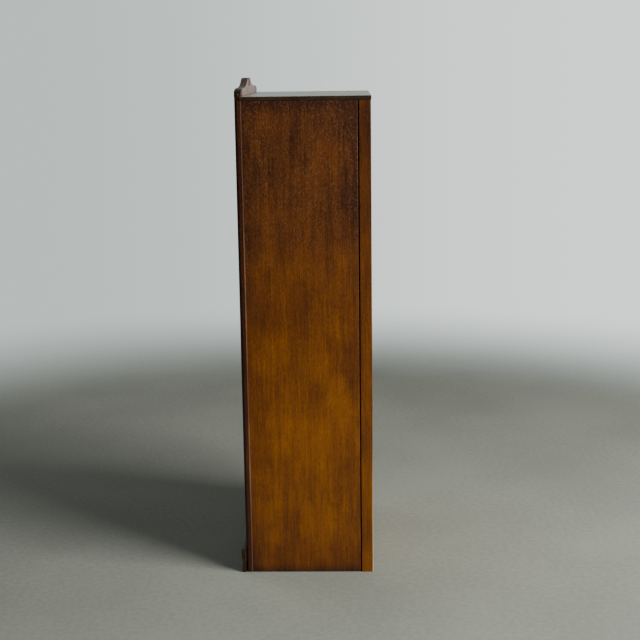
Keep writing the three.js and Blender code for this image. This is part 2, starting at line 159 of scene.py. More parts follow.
class BookcaseStudio(bpy.types.PropertyGroup):
    """Camera, light and floor."""

    camera_place: FloatVectorProperty(
        name="Camera place",
        description="Where the camera stands",
        subtype="TRANSLATION",
        unit="LENGTH",
        default=(3.816, 0.142, 1.523),
    )
    camera_pitch: tilt("Pitch", 0.2064, "How far the camera looks down")
    camera_yaw: tilt("Yaw", 0.0268, "Turn of the camera towards the front")
    camera_roll: tilt("Roll", -0.0139, "Tilt of the camera about its own axis")
    lens: plain("Lens", 69.1, "Focal length on a 36 mm sensor, in millimetres")
    window_power: plain("Window light", 340, "Large soft light, in watts")
    fill_power: plain("Fill light", 30, "Weak light on the front, in watts")
    floor: tint("Floor", "#929589", "Plain floor")
    room: tint("Room", "#ccd6d3", "Plain surroundings")
    room_seen: plain("Room as seen", 1.3, "Brightness of the plain background")
    room_beyond: plain("Room beyond", 0.9, "Light from the far side of the room")
    room_near: plain("Room near", 0.05, "Light from the camera's side of the room")


# ---- Materials -----------------------------------------------------------------------------------


def add(tree, kind, inputs=None, **settings):
    """Adds a node, sets what is named, and links or fills its inputs."""
    node = tree.nodes.new(kind)
    for key, value in settings.items():
        setattr(node, key, value)
    for key, value in (inputs or {}).items():
        if isinstance(value, bpy.types.NodeSocket):
            tree.links.new(value, node.inputs[key])
        else:
            node.inputs[key].default_value = value
    return node


def new_finish(name):
    """An empty material with its shader, and the tree they are in."""
    material = bpy.data.materials.new(name)
    material.use_nodes = True
    shader = material.node_tree.nodes["Principled BSDF"]
    return material, material.node_tree, shader


def object_place(tree):
    """Where a point lies on the piece, in metres."""
    return add(tree, "ShaderNodeTexCoord").outputs["Object"]


def even_noise(tree, place, size, detail):
    """Noise whose features are about size wide, in metres, in every direction."""
    return add(
        tree, "ShaderNodeTexNoise", {"Vector": place, "Scale": 1 / size, "Detail": detail}
    ).outputs["Fac"]


GRAIN_ALONG = {"X": (1, 0, 0), "Y": (0, 1, 0), "Z": (0, 0, 1)}


def grain_noise(tree, place, grain, across, along, detail=3.0, seed=0.0):
    """Noise whose features are across wide and along long, in metres, in the direction of the grain."""
    squash = [across / along if axis else 1.0 for axis in GRAIN_ALONG[grain]]
    mapped = add(
        tree,
        "ShaderNodeMapping",
        {"Vector": place, "Scale": squash, "Location": (seed, seed * 1.7, seed * 0.6)},
    )
    return add(
        tree,
        "ShaderNodeTexNoise",
        {"Vector": mapped.outputs[0], "Scale": 1 / across, "Detail": detail, "Roughness": 0.6},
    ).outputs["Fac"]


def blend_colours(tree, factor, low, high):
    """Two colours mixed by a factor."""
    return add(tree, "ShaderNodeMix", {0: factor, 6: low, 7: high}, data_type="RGBA").outputs[2]


def scaled(colour, factor):
    """A colour made darker or paler, no paler than white."""
    return [min(1, c * factor) for c in colour]


def share(tree, value, low, high, start=0.0, end=1.0):
    """A value between low and high, spread from start to end and held there."""
    return add(
        tree,
        "ShaderNodeMapRange",
        {"Value": value, "From Min": low, "From Max": high, "To Min": start, "To Max": end},
        interpolation_type="SMOOTHSTEP",
    ).outputs[0]


def times(tree, a, b):
    """The product of two values."""
    return add(tree, "ShaderNodeMath", {0: a, 1: b}, operation="MULTIPLY").outputs[0]


def plus(tree, a, b):
    """The sum of two values."""
    return add(tree, "ShaderNodeMath", {0: a, 1: b}, operation="ADD").outputs[0]


def without_sign(tree, value):
    """The size of a value, whatever its sign."""
    return add(tree, "ShaderNodeMath", {0: value}, operation="ABSOLUTE").outputs[0]


def axes(tree, vector):
    """The x, y and z of a vector."""
    return add(tree, "ShaderNodeSeparateXYZ", {0: vector}).outputs


def blended(tree, *parts):
    """Values about 0.5 mixed by weight, their mean kept at 0.5."""
    total = 0.5
    for value, weight in parts:
        total = plus(tree, total, times(tree, plus(tree, value, -0.5), weight))
    return total


def attribute(tree, name):
    """A value that faces carry under that name, and nothing where they carry none."""
    return add(tree, "ShaderNodeAttribute", attribute_name=name).outputs["Fac"]


def stain_ramp(tree, tone, tones):
    """The colour of dark, middle and light stain at a tone from 0 to 1."""
    ramp = add(tree, "ShaderNodeValToRGB", {0: tone})
    ramp.color_ramp.elements.new(0.5)
    for element, position, colour in zip(ramp.color_ramp.elements, (0.15, 0.5, 0.9), tones):
        element.position = position
        element.color = (*colour, 1)
    return ramp.outputs[0]


def relief(tree, shader, height, strength, distance):
    """Makes a height show as bumps, distance deep."""
    bump = add(
        tree, "ShaderNodeBump", {"Height": height, "Strength": strength, "Distance": distance}
    )
    tree.links.new(bump.outputs[0], shader.inputs["Normal"])


def stained_oak(
    name,
    grain,
    tones,
    rubbed,
    gloss,
    height_shading=0.0,
    contrast=1.0,
    darkened_margins=None,
    painted_glints=None,
    dust=None,
    bare_below=None,
    seed=0.0,
):
    """Oak under brushed stain and lacquer: cloudy stain, streaks and open pores along the grain.

    grain is the axis that the grain runs along, and tones are the dark, middle and light stain.
    rubbed is the colour of worn edges, which are worn only below bare_below where that is given.
    A height shading paints light and shade by height: it darkens the stain towards the top and
    lightens it towards the floor. Darkened margins are the middle and half depth of a panel whose front
    and back margins and foot are made darker, with painted shade at its bottom edge and a painted
    shadow under its head. A speck colour paints highlights: bright flecks, high up, that stand for
    light glinting off the lacquer over the grain. dust is the colour of dust on a flat top, and also
    paints the sheen of its lacquer.
    """
    material, tree, shader = new_finish(name)
    place = object_place(tree)
    parts = axes(tree, place)
    cloud = grain_noise(tree, place, grain, 80 * MM, 130 * MM, 2, seed)
    band = grain_noise(tree, place, grain, 14 * MM, 300 * MM, 3, seed + 3)
    streak = grain_noise(tree, place, grain, 4 * MM, 90 * MM, 3, seed + 5)
    # Medullary rays show as short flecks.
    fleck = grain_noise(tree, place, grain, 3.5 * MM, 9 * MM, 2, seed + 7)
    # Pores are 0.3 mm wide on real oak, and are drawn at 1.2 mm so that they show.
    pore = grain_noise(tree, place, grain, 1.2 * MM, 16 * MM, 2, seed + 9)

    tone = blended(
        tree,
        (cloud, 0.62 * contrast),
        (band, 0.42 * contrast),
        (streak, 0.5 * contrast),
        (fleck, 0.42 * contrast),
    )
    # Painted light and shade by height: the stain is darker towards the top and lighter towards the
    # floor.
    if height_shading:
        tone = plus(tree, tone, share(tree, parts["Z"], 1.4, 0.45, -0.6 * height_shading, 0.4 * height_shading))
    if darkened_margins:
        middle, half = darkened_margins
        away = without_sign(tree, plus(tree, parts["Y"], -middle))
        # The front and back margins and the foot of the panel are darker. Its last few millimetres
        # carry painted shade by the floor, and its head a painted shadow under the top board.
        margins = [
            (away, half - 75 * MM, half, -0.14),
            (parts["Z"], 150 * MM, 20 * MM, -0.12),
            (parts["Z"], 35 * MM, 0.0, -0.25),
            (parts["Z"], 1.375, 1.42, -0.2),
        ]
        for value, clear, shaded, darker in margins:
            tone = plus(tree, tone, share(tree, value, clear, shaded, 0.0, darker))
    colour = stain_ramp(tree, tone, tones)
    open_pore = share(tree, pore, 0.55, 0.75)
    in_the_pores = (*scaled(tones[0], 0.4), 1)
    colour = blend_colours(tree, times(tree, open_pore, 0.5), colour, in_the_pores)
    # Painted highlights: bright flecks high up that stand for light glinting off the lacquer over the
    # grain.
    if painted_glints:
        stipple = grain_noise(tree, place, grain, 2.2 * MM, 5 * MM, 1, seed + 13)
        raised = times(tree, share(tree, stipple, 0.5, 0.75), share(tree, parts["Z"], 0.7, 1.2))
        painted_glint_mask = times(tree, raised, share(tree, band, 0.35, 0.6, 0.25, 0.6))
        colour = blend_colours(tree, painted_glint_mask, colour, (*painted_glints, 1))

    worn = times(tree, attribute(tree, "arris"), share(tree, band, 0.38, 0.62, 0.35, 0.9))
    if bare_below:
        worn = times(tree, worn, share(tree, parts["Z"], bare_below, 0.0))
    colour = blend_colours(tree, worn, colour, (*rubbed, 1))
    roughness = share(tree, fleck, 0.3, 0.7, gloss - 0.05, gloss + 0.07)
    # Dust on faces that look up; its pale colour also paints the sheen that the top's lacquer reflects.
    if dust:
        facing = axes(tree, add(tree, "ShaderNodeNewGeometry").outputs["Normal"])
        drift = share(tree, blended(tree, (cloud, 0.3), (band, 0.8)), 0.3, 0.7, 0.58, 0.72)
        dust_and_sheen = times(tree, share(tree, facing["Z"], 0.7, 0.98), drift)
        colour = blend_colours(tree, dust_and_sheen, colour, (*dust, 1))
    height = plus(tree, times(tree, open_pore, -1.0), times(tree, streak, 0.5))
    relief(tree, shader, height, 0.35, 0.25 * MM)
    tree.links.new(colour, shader.inputs["Base Color"])
    tree.links.new(roughness, shader.inputs["Roughness"])
    # Worn lacquer reflects less than the 1.5 of a new coat.
    shader.inputs["IOR"].default_value = 1.37
    return material


def carved_oak(name, dark, light, rubbed, dust):
    """Carved oak, brushed with dark stain and waxed: dark and lighter stain in patches, and rubbed
    brown on its marked faces, which on the front-facing carving is also a painted highlight.

    Faces marked as dusty carry a grey bloom.
    """
    material, tree, shader = new_finish(name)
    place = object_place(tree)
    parts = axes(tree, place)
    streak = grain_noise(tree, place, "X", 2.5 * MM, 60 * MM, 4, 21)
    # The cuts of the gouge are some 9 mm wide.
    gouge = even_noise(tree, place, 9 * MM, 3.0)
    stained = share(tree, blended(tree, (streak, 0.5), (gouge, 0.5)), 0.38, 0.62)
    colour = blend_colours(tree, stained, (*dark, 1), (*light, 1))
    bloom = times(tree, attribute(tree, "dusty"), share(tree, streak, 0.3, 0.7, 0.55, 0.9))
    # The ends of the crest stay clear of bloom. Its notch gets neither bloom nor rubbing: painted shade
    # that keeps the notch dark.
    out = without_sign(tree, parts["X"])
    below_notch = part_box("crest")[1].z - 25 * MM
    beside = share(tree, out, 15 * MM, 21 * MM)
    under = share(tree, parts["Z"], below_notch + 2 * MM, below_notch - 2 * MM)
    clear_of_notch_shade = add(tree, "ShaderNodeMath", {0: beside, 1: under}, operation="MAXIMUM").outputs[0]
    bloom = times(tree, times(tree, bloom, clear_of_notch_shade), share(tree, out, 262 * MM, 248 * MM))
    colour = blend_colours(tree, bloom, colour, (*dust, 1))
    # Rubbed wear on the eased edges; on the front-facing carving the rubbed colour is also a painted
    # highlight.
    worn = times(tree, attribute(tree, "arris"), share(tree, gouge, 0.4, 0.62, 0.1, 0.75))
    colour = blend_colours(tree, times(tree, worn, clear_of_notch_shade), colour, (*rubbed, 1))
    relief(tree, shader, plus(tree, gouge, times(tree, streak, 0.5)), 0.4, 0.5 * MM)
    tree.links.new(colour, shader.inputs["Base Color"])
    tree.links.new(share(tree, gouge, 0.3, 0.7, 0.36, 0.5), shader.inputs["Roughness"])
    # Beeswax.
    shader.inputs["IOR"].default_value = 1.42
    return material


def mix_shaders(tree, factor, first, second):
    """Makes the surface a mix of two shaders."""
    mixed = add(tree, "ShaderNodeMixShader", {0: factor, 1: first, 2: second})
    tree.links.new(mixed.outputs[0], tree.nodes["Material Output"].inputs["Surface"])


def back_plywood(name, colour):
    """Rotary-cut plywood, left bare: broad, wandering figure, and matt."""
    material, tree, shader = new_finish(name)
    place = object_place(tree)
    figure = grain_noise(tree, place, "Z", 60 * MM, 420 * MM, 2, 31)
    # The growth rings are met at a slant, and show as bands some 14 mm apart.
    rings = add(tree, "ShaderNodeMath", {0: times(tree, figure, 55.0)}, operation="SINE").outputs[0]
    streak = grain_noise(tree, place, "Z", 2.5 * MM, 70 * MM, 3, 33)
    tone = plus(tree, times(tree, rings, 0.06), streak)
    paler = (*scaled(colour, 1.25), 1)
    deeper = (*scaled(colour, 0.62), 1)
    shade = blend_colours(tree, share(tree, tone, 0.3, 0.75), paler, deeper)
    relief(tree, shader, streak, 0.3, 0.3 * MM)
    tree.links.new(shade, shader.inputs["Base Color"])
    tree.links.new(share(tree, streak, 0.3, 0.7, 0.68, 0.82), shader.inputs["Roughness"])
    shader.inputs["IOR"].default_value = 1.5
    return material


def window_glass(name):
    """Drawn sheet glass, 3 mm: clear, faintly green, with slow waves. Light passes through it."""
    material, tree, shader = new_finish(name)
    # Drawn glass has waves some 60 mm apart.
    wave = even_noise(tree, object_place(tree), 60 * MM, 1.0)
    relief(tree, shader, wave, 0.12, 0.6 * MM)
    shader.inputs["Base Color"].default_value = (*linear("#f0f7f4"), 1)
    shader.inputs["Roughness"].default_value = 0.02
    shader.inputs["Transmission Weight"].default_value = 1.0
    shader.inputs["IOR"].default_value = 1.52
    shadow = add(tree, "ShaderNodeLightPath").outputs["Is Shadow Ray"]
    through = add(tree, "ShaderNodeBsdfTransparent", {"Color": (*linear("#e6efeb"), 1)}).outputs[0]
    mix_shaders(tree, shadow, shader.outputs[0], through)
    return material


def worn_metal(name, colour, roughness, tarnish):
    """Brass or steel, turned or drawn and then handled: smooth, with cloudy tarnish."""
    material, tree, shader = new_finish(name)
    # Finger marks tarnish in patches some 7 mm wide.
    cloud = even_noise(tree, object_place(tree), 7 * MM, 4.0)
    dull = (*scaled(colour, 0.45), 1)
    tarnished = times(tree, share(tree, cloud, 0.42, 0.68), tarnish)
    rough = share(tree, cloud, 0.3, 0.7, roughness, roughness + 0.16)
    tree.links.new(blend_colours(tree, tarnished, (*colour, 1), dull), shader.inputs["Base Color"])
    tree.links.new(rough, shader.inputs["Roughness"])
    shader.inputs["Metallic"].default_value = 1.0
    return material


def studio_floor(name, colour, solid, gone):
    """Pale, power-floated concrete: faint clouds, matt. It thins out between two distances."""
    material, tree, shader = new_finish(name)
    place = object_place(tree)
    # Passes of the float are some 600 mm apart, and the coarsest grit 17 mm.
    cloud = even_noise(tree, place, 625 * MM, 7.0)
    grit = even_noise(tree, place, 1 / 60, 3.0)
    paler = (*scaled(colour, 1.08), 1)
    deeper = (*scaled(colour, 0.9), 1)
    mottle = share(tree, blended(tree, (cloud, 1.0), (grit, 0.7)), 0.3, 0.7)
    shade = blend_colours(tree, mottle, deeper, paler)
    tree.links.new(shade, shader.inputs["Base Color"])
    shader.inputs["Roughness"].default_value = 0.7
    away = add(tree, "ShaderNodeVectorMath", {0: place}, operation="LENGTH").outputs["Value"]
    nothing = add(tree, "ShaderNodeBsdfTransparent").outputs[0]
    mix_shaders(tree, share(tree, away, solid, gone), shader.outputs[0], nothing)
    return material


FINISHES = {}


def finish(context, name):
    """The finish of that name, made the first time that it is asked for."""
    if name not in FINISHES:
        FINISHES[name] = make_finish(context.scene.bookcase_colours, name)
    return FINISHES[name]


def make_finish(colours, name):
    """Makes one of the bookcase's finishes."""
    veneer = [colours.veneer_dark, colours.veneer_middle, colours.veneer_light]
    rear = [scaled(tone, 0.92) for tone in veneer]
    oak = [colours.frame_dark, colours.frame_middle, colours.frame_light]
    shelf = [scaled(colours.shelf, factor) for factor in (0.55, 1.0, 1.35)]
    top_middle = [(a + b) / 2 for a, b in zip(colours.top_dark, colours.top_light)]
    top = [colours.top_dark, top_middle, colours.top_light]
    rubbed = colours.rubbed
    low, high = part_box("right_side_panel")
    panel = ((low.y + high.y) / 2, (high.y - low.y) / 2)
    # The colour of the painted highlights on the side veneer.
    glint_colour = scaled(rubbed, 0.55)
    makers = {
        # The side veneer carries painted light and shade by height, painted shade at its head and foot,
        # and painted highlights.
        "side_veneer": lambda: stained_oak(
            name, "Z", veneer, rubbed, 0.4, height_shading=0.34, darkened_margins=panel, painted_glints=glint_colour
        ),
        # The rear stiles carry painted light and shade by height.
        "rear_oak": lambda: stained_oak(
            name, "Z", rear, colours.bare, 0.4, height_shading=0.3, bare_below=0.55, seed=41
        ),
        "upright_oak": lambda: stained_oak(name, "Z", oak, rubbed, 0.38, seed=11),
        "level_oak": lambda: stained_oak(name, "X", oak, rubbed, 0.38, seed=17),
        "top_oak": lambda: stained_oak(name, "X", top, top_middle, 0.2, dust=colours.dust, seed=23),
        "shelf_oak": lambda: stained_oak(name, "X", shelf, rubbed, 0.5, contrast=0.7, seed=29),
        "peg_oak": lambda: stained_oak(name, "Y", oak, rubbed, 0.5, seed=37),
        "carved_oak": lambda: carved_oak(
            name, colours.carving_dark, colours.carving_light, rubbed, colours.bloom
        ),
        "back_plywood": lambda: back_plywood(name, colours.plywood),
        "window_glass": lambda: window_glass(name),
        "knob_brass": lambda: worn_metal(name, colours.brass, 0.22, 0.6),
        "rod_steel": lambda: worn_metal(name, colours.steel, 0.3, 0.3),
    }
    return makers[name]()


# ---- Modelling helpers ---------------------------------------------------------------------------


def clear_selection():
    """Leaves edit mode and deselects everything."""
    if bpy.context.object and bpy.context.object.mode != "OBJECT":
        bpy.ops.object.mode_set(mode="OBJECT")
    bpy.ops.object.select_all(action="DESELECT")


def take(*pieces):
    """Selects only these pieces, and makes the first one active."""
    clear_selection()
    for piece in pieces:
        piece.select_set(True)
    bpy.context.view_layer.objects.active = pieces[0]


def edit(piece, kind="FACE"):
    """Opens the piece in edit mode with nothing selected, and returns its mesh."""
    take(piece)
    bpy.ops.object.mode_set(mode="EDIT")
    bpy.ops.mesh.select_mode(type=kind)
    bpy.ops.mesh.select_all(action="DESELECT")
    return bmesh.from_edit_mesh(piece.data)


def edit_whole(piece, kind="FACE"):
    """Opens the piece in edit mode with all of it selected."""
    edit(piece, kind)
    bpy.ops.mesh.select_all(action="SELECT")


def face_outwards(piece):
    """Turns every face of a closed piece outwards."""
    edit_whole(piece)
    bpy.ops.mesh.normals_make_consistent(inside=False)
    clear_selection()


def split(piece, place, across):
    """Cuts an edge into the piece all round, where it meets a plane."""
    edit_whole(piece)
    bpy.ops.mesh.bisect(plane_co=place, plane_no=across)
    clear_selection()


def named(name):
    """Names the object that an operator has just added, and returns it."""
    piece = bpy.context.object
    piece.name = name
    piece.data.name = name
    return piece


def fix(piece):
    """Puts the piece's place, turn and scale into its mesh."""
    take(piece)
    bpy.ops.object.transform_apply(location=True, rotation=True, scale=True)


def set_down(piece, place=(0, 0, 0), turn=(0, 0, 0)):
    """Turns and moves the piece, and puts that into its mesh."""
    piece.rotation_euler = turn
    piece.location = place
    fix(piece)


def copy_of(piece, name):
    """A copy of a piece, with a mesh of its own."""
    take(piece)
    bpy.ops.object.duplicate()
    return named(name)


def joined(pieces, name):
    """Several pieces made one object."""
    take(*pieces)
    if len(pieces) > 1:
        bpy.ops.object.join()
    return named(name)


def repeated(first, places, name):
    """Copies of a piece at those places, made one object. The piece itself goes."""
    copies = []
    for place in places:
        copy = copy_of(first, first.name)
        set_down(copy, place)
        copies.append(copy)
    bpy.data.objects.remove(first)
    return joined(copies, name)


def skin_of(node, name):
    """A copy of one of the frame's nodes, welded into one skin, with each flat face made whole."""
    piece = copy_of(frame["nodes"][node], name)
    del piece["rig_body"]
    del piece["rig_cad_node"]
    bpy.ops.object.parent_clear(type="CLEAR_KEEP_TRANSFORM")
    piece.data.materials.clear()
    for _ in range(2):
        piece.data.materials.append(None)
    edit_whole(piece, "VERT")
    bpy.ops.mesh.remove_doubles(threshold=WELD)
    bpy.ops.mesh.dissolve_limited(angle_limit=math.radians(0.6))
    clear_selection()
    return piece


def mark(piece, layer_name, amount, wanted):
    """Gives an amount under a name to the faces that are wanted."""
    mesh = edit(piece)
    layer = mesh.faces.layers.float.get(layer_name) or mesh.faces.layers.float.new(layer_name)
    for face in mesh.faces:
        if wanted(face):
            face[layer] = amount
    bmesh.update_edit_mesh(piece.data)
    clear_selection()


def ease(piece, width, shortest=18 * MM, wanted=None, segments=2, rubbed=1.0):
    """Rounds the sharp outer edges no shorter than shortest, if they are wanted by their middle."""
    mesh = edit(piece, "EDGE")
    chosen = False
    for edge in mesh.edges:
        middle = (edge.verts[0].co + edge.verts[1].co) / 2
        outer = len(edge.link_faces) == 2 and edge.is_convex
        long_enough = edge.calc_length() >= shortest
        if outer and long_enough and edge.calc_face_angle(0) > SHARP:
            if wanted is None or wanted(middle):
                edge.select_set(True)
                chosen = True
    if not chosen:
        raise RuntimeError(f"{piece.name} has no edge to round")
    bmesh.update_edit_mesh(piece.data)
    # The second, empty material slot only tells the new faces from the old ones.
    bpy.ops.mesh.bevel(
        offset=width, segments=segments, clamp_overlap=False, affect="EDGES", material=1
    )
    mark(piece, "arris", rubbed, lambda face: face.material_index == 1)
    for face in edit(piece).faces:
        face.material_index = 0
    clear_selection()
    return piece


def settle(piece, body, slot, material, *nodes, smooth=40):
    """Finishes a piece: it gets its shading, its material and its body. Its slot is not used."""
    fix(piece)
    bpy.ops.object.shade_smooth_by_angle(angle=math.radians(smooth))
    bpy.ops.object.modifier_add(type="WEIGHTED_NORMAL")
    piece.modifiers[-1].keep_sharp = True
    bpy.ops.object.modifier_apply(modifier=piece.modifiers[-1].name)
    piece.data.materials.clear()
    piece.data.materials.append(material)
    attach(piece, body)
    if nodes:
        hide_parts(*nodes)


def turned(name, outline, sides):
    """A turned piece about the z axis, drawn out from each (radius, height) to the next."""
    radius, height = outline[0]
    clear_selection()
    bpy.ops.mesh.primitive_circle_add(
        vertices=sides, radius=radius, fill_type="NGON", location=(0, 0, height)
    )
    piece = named(name)
    fix(piece)
    edit_whole(piece)
    for wider, higher in outline[1:]:
        ratio = wider / radius
        bpy.ops.mesh.extrude_region_move(TRANSFORM_OT_translate={"value": (0, 0, higher - height)})
        bpy.ops.transform.resize(value=(ratio, ratio, 1), center_override=(0, 0, higher))
        radius, height = wider, higher
    face_outwards(piece)
    return piece


def front_rubbed_and_lit(face):
    """Whether a carved face looks to the front, where hands rub it. Its lighter rubbed colour is also a
    painted highlight, so that the carving reads in the shade on the front.
    """
    return face.normal.y < -0.5


def strand(name, points, radii, flat=0.75):
    """A rounded, tapering strand of carving through points, flattened from front to back."""
    clear_selection()
    bpy.ops.curve.primitive_nurbs_path_add()
    path = named(name)
    path.data.splines.clear()
    spline = path.data.splines.new("POLY")
    spline.points.add(len(points) - 1)
    for point, place, radius in zip(spline.points, points, radii):
        point.co = (*place, 1)
        point.radius = radius
    path.data.bevel_depth = 1.0
    path.data.bevel_resolution = 2
    path.data.use_fill_caps = True
    bpy.ops.object.convert(target="MESH")
    piece = bpy.context.object
    middle = points[0][1]
    edit_whole(piece)
    bpy.ops.mesh.remove_doubles(threshold=WELD)
    bpy.ops.mesh.normals_make_consistent(inside=False)
    bpy.ops.transform.resize(value=(1, flat, 1), center_override=(0, middle, 0))
    # Front faces rubbed lighter: wear, and a painted highlight on the shaded front.
    mark(piece, "arris", 0.75, front_rubbed_and_lit)
    return piece


def mirrored(piece, name):
    """A copy of the piece on the other side of the case, with its faces pointing out."""
    other = copy_of(piece, name)
    other.scale.x = -1
    fix(other)
    face_outwards(other)
    return other


# ---- Carving -------------------------------------------------------------------------------------


def at(x, z):
    """A place in the plane of the front, given in millimetres."""
    return (x * MM, z * MM)


def spiral(eye, inner, outer, turns, start, hand, count=34):
    """Points of a volute from its eye outwards, in the plane of the front, as (x, z)."""
    points = []
    for step in range(count + 1):
        part = step / count
        reach = inner + (outer - inner) * part
        angle = start + hand * part * turns * 2 * math.pi
        points.append((eye[0] + reach * math.cos(angle), eye[1] + reach * math.sin(angle)))
    return points


def bow(start, pull_out, pull_in, end, count=18):
    """Points of a cubic curve between two places, its own ends left out."""
    points = []
    for step in range(1, count):
        t = step / count
        weights = ((1 - t) ** 3, 3 * t * (1 - t) ** 2, 3 * t * t * (1 - t), t**3)
        corners = (start, pull_out, pull_in, end)
        points.append(tuple(sum(w * c[axis] for w, c in zip(weights, corners)) for axis in (0, 1)))
    return points


def tapered(line, thick, loss):
    """Radii of a strand along a line, from thick down by loss, both in millimetres."""
    return [(thick - loss * step / len(line)) * MM for step in range(len(line))]


def petal(name, base, angle, reach, width, depth):
    """A petal of a carved leaf, lying on the ground of the carving, with its root at base."""
    clear_selection()
    bpy.ops.mesh.primitive_uv_sphere_add(segments=14, ring_count=10, radius=1)
    piece = named(name)
    mesh = edit(piece, "VERT")
    for vertex in mesh.verts:
        vertex.select_set(vertex.co.z < 0.05)
    bmesh.update_edit_mesh(piece.data)
    bpy.ops.transform.resize(value=(0.62, 0.62, 1), center_override=(0, 0, 0))
    clear_selection()
    piece.scale = (width / 2, depth, reach / 2)
    fix(piece)
    set_down(piece, (0, 0, reach / 2))
    set_down(piece, base, (0, angle, 0))
    # Front faces rubbed lighter: wear, and a painted highlight on the shaded front.
    mark(piece, "arris", 0.75, front_rubbed_and_lit)
    return piece


class BOOKCASE_OT_crest(bpy.types.Operator):
    """Carve the crest: a cut-back ground in a raised edge, with scrolls, leaves and end scrolls"""

    bl_idname = "bookcase.crest"
    bl_label = "Crest"

    def execute(self, context):
        sizes = context.scene.bookcase_sizes
        low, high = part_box("crest")
        board = skin_of("crest", "crest_board")
        mesh = edit(board)
        for face in mesh.faces:
            face.select_set(face.normal.y < -0.9)
        bmesh.update_edit_mesh(board.data)
        bpy.ops.mesh.inset(thickness=sizes.carving_border, depth=-sizes.carving_depth)
        clear_selection()
        ease(board, 0.9 * MM, 0.5 * MM, lambda middle: middle.y < low.y + 0.1 * MM, rubbed=0.8)
        ease(board, 0.7 * MM, 0.5 * MM, lambda middle: middle.y > high.y - 0.1 * MM, rubbed=0.5)

        ground = low.y + sizes.carving_depth + 0.4 * MM
        base = low.z
        parts = [board]
        for line, radii in self.scrolls():
            right = strand("scroll", [(x, ground, base + z) for x, z in line], radii)
            parts += [right, mirrored(right, "scroll")]
        for x, z, angle, reach, width in self.leaves():
            pair = [(x, angle)] if angle == 0 else [(x, angle), (-x, -angle)]
            for place, turn in pair:
                root = (place, ground, base + z)
                parts.append(petal("leaf", root, turn, reach, width, 2.0 * MM))
        for sign in SIDES.values():
            place = (sign * high.x, (low.y + high.y) / 2, base + 4.8 * MM)
            parts.append(self.end_scroll(sizes, sign, place))
        crest = joined(parts, "carved_crest")

        def on_the_back(face):
            return face.normal.y > 0.9 and face.calc_center_median().y > high.y - MM

        def on_the_edge(face):
            return face.normal.z > 0.6 and face.calc_center_median().y > ground + 3 * MM

        mark(crest, "dusty", 1.0, on_the_back)
        mark(crest, "dusty", 0.4, on_the_edge)
        settle(crest, "case", "carved_oak", finish(context, "carved_oak"), "crest")
        return {"FINISHED"}

    @staticmethod
    def scrolls():
        """Strands of the right half as (line, radii): lobe and arm, shoulder, and corner."""
        lobe = spiral(at(33, 30.5), 1.4 * MM, 8.6 * MM, 1.75, math.radians(190), -1)
        bend = at(112, 17)
        lobe += bow(lobe[-1], at(50, 41), at(74, 20), bend, 22)
        lobe += [bend] + bow(bend, at(136, 14.5), at(158, 6.5), at(186, 5.5), 16)
        swelling = [math.sin(math.pi * step / len(lobe)) ** 0.7 for step in range(len(lobe))]
        shoulder = spiral(at(212, 11), 1.0 * MM, 5.6 * MM, 1.5, math.radians(60), 1, 26)
        shoulder += bow(shoulder[-1], at(202, 19), at(180, 17), at(162, 12.5), 12)
        corner = spiral(at(278, 7.8), 0.8 * MM, 4.4 * MM, 1.6, math.radians(230), -1, 28)
        corner += bow(corner[-1], at(266, 14), at(252, 15), at(238, 11.5), 12)
        return [
            (lobe, [(1.2 + 1.7 * swell) * MM for swell in swelling]),
            (shoulder, tapered(shoulder, 1.9, 1.1)),
            (corner, tapered(corner, 1.6, 0.8)),
        ]

    @staticmethod
    def leaves():
        """Leaves as (x, z, angle, reach, width): a palmette below the notch, and those on the arm."""
        in_millimetres = []
        for i in range(4):
            in_millimetres.append((i * 0.5, 3.5, 30 * i, 16 - 1.8 * i, 5.0))
        for i in range(4):
            in_millimetres.append((74 + 17 * i, 24 - 2.6 * i, 58 + 4 * i, 13 - 1.2 * i, 4.2))
        for i in range(4):
            in_millimetres.append((66 + 18 * i, 19 - 3.6 * i, 112 - 3 * i, 14 - 1.2 * i, 4.2))
        return [
            (x * MM, z * MM, math.radians(degrees), reach * MM, width * MM)
            for x, z, degrees, reach, width in in_millimetres
        ]

    @staticmethod
    def end_scroll(sizes, sign, place):
        """The turned eye on one end of the crest, sunk a little into it."""
        rings = [(4.3, 0), (4.3, 0.7), (3.6, 1.2), (2.8, 0.7)]
        rings += [(2.1, 0.7), (1.7, 1.4), (0.7, 1.7), (0.05, 1.75)]
        eye = turned("eye", [(r * MM, (h - 0.4) * MM) for r, h in rings], sizes.round_steps)
        set_down(eye, place, (0, sign * math.pi / 2, 0))
        return eye


